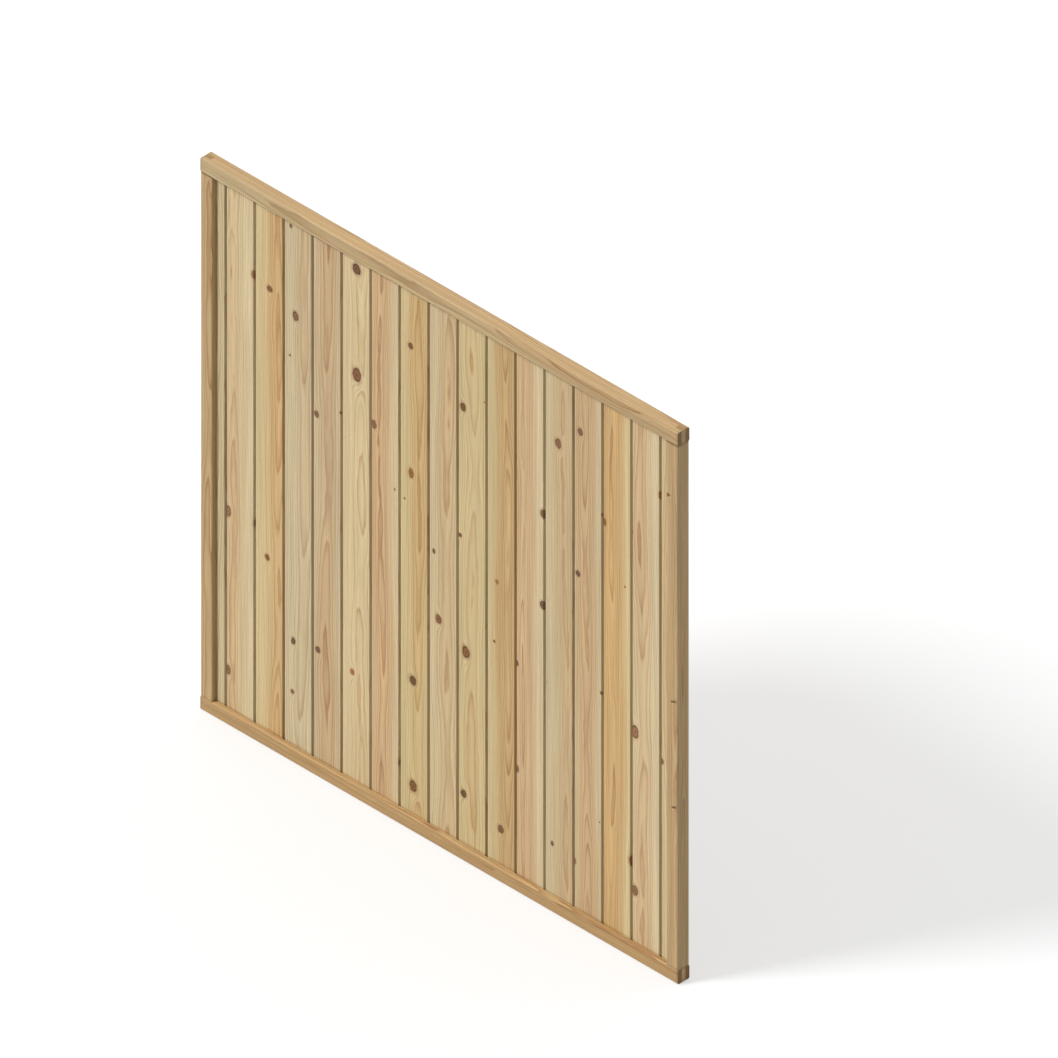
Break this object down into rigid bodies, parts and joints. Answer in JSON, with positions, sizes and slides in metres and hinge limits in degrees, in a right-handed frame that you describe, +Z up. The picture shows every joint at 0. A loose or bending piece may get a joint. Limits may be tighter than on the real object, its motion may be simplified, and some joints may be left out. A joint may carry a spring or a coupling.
{
  "type": "tongue and groove fence panel",
  "caption": "Square framed timber fence panel with upright tongue and groove boards, V joints on the front and rounded frame bars joined at open corner tenons.",
  "frame": {"origin": "middle of the panel's foot, on the underside of the bottom rail", "axes": "+X along the panel to the right as seen from the front, +Y from the front to the rear, +Z up"},
  "size_m": [1.828, 0.045, 1.828],
  "materials": {
    "frame_timber": "matte",
    "board_timber": "matte",
    "screw_steel": "satin"
  },
  "bodies": {
    "root": {"top_rail": "frame_timber", "bottom_rail": "frame_timber", "left_stile": "frame_timber", "right_stile": "frame_timber", "left_edge_board": "board_timber", "board_01": "board_timber", "board_02": "board_timber", "board_03": "board_timber", "board_04": "board_timber", "board_05": "board_timber", "board_06": "board_timber", "board_07": "board_timber", "board_08": "board_timber", "board_09": "board_timber", "board_10": "board_timber", "board_11": "board_timber", "board_12": "board_timber", "board_13": "board_timber", "board_14": "board_timber", "board_15": "board_timber", "right_edge_board": "board_timber", "corner_screws": "screw_steel"}
  },
  "joints": []
}
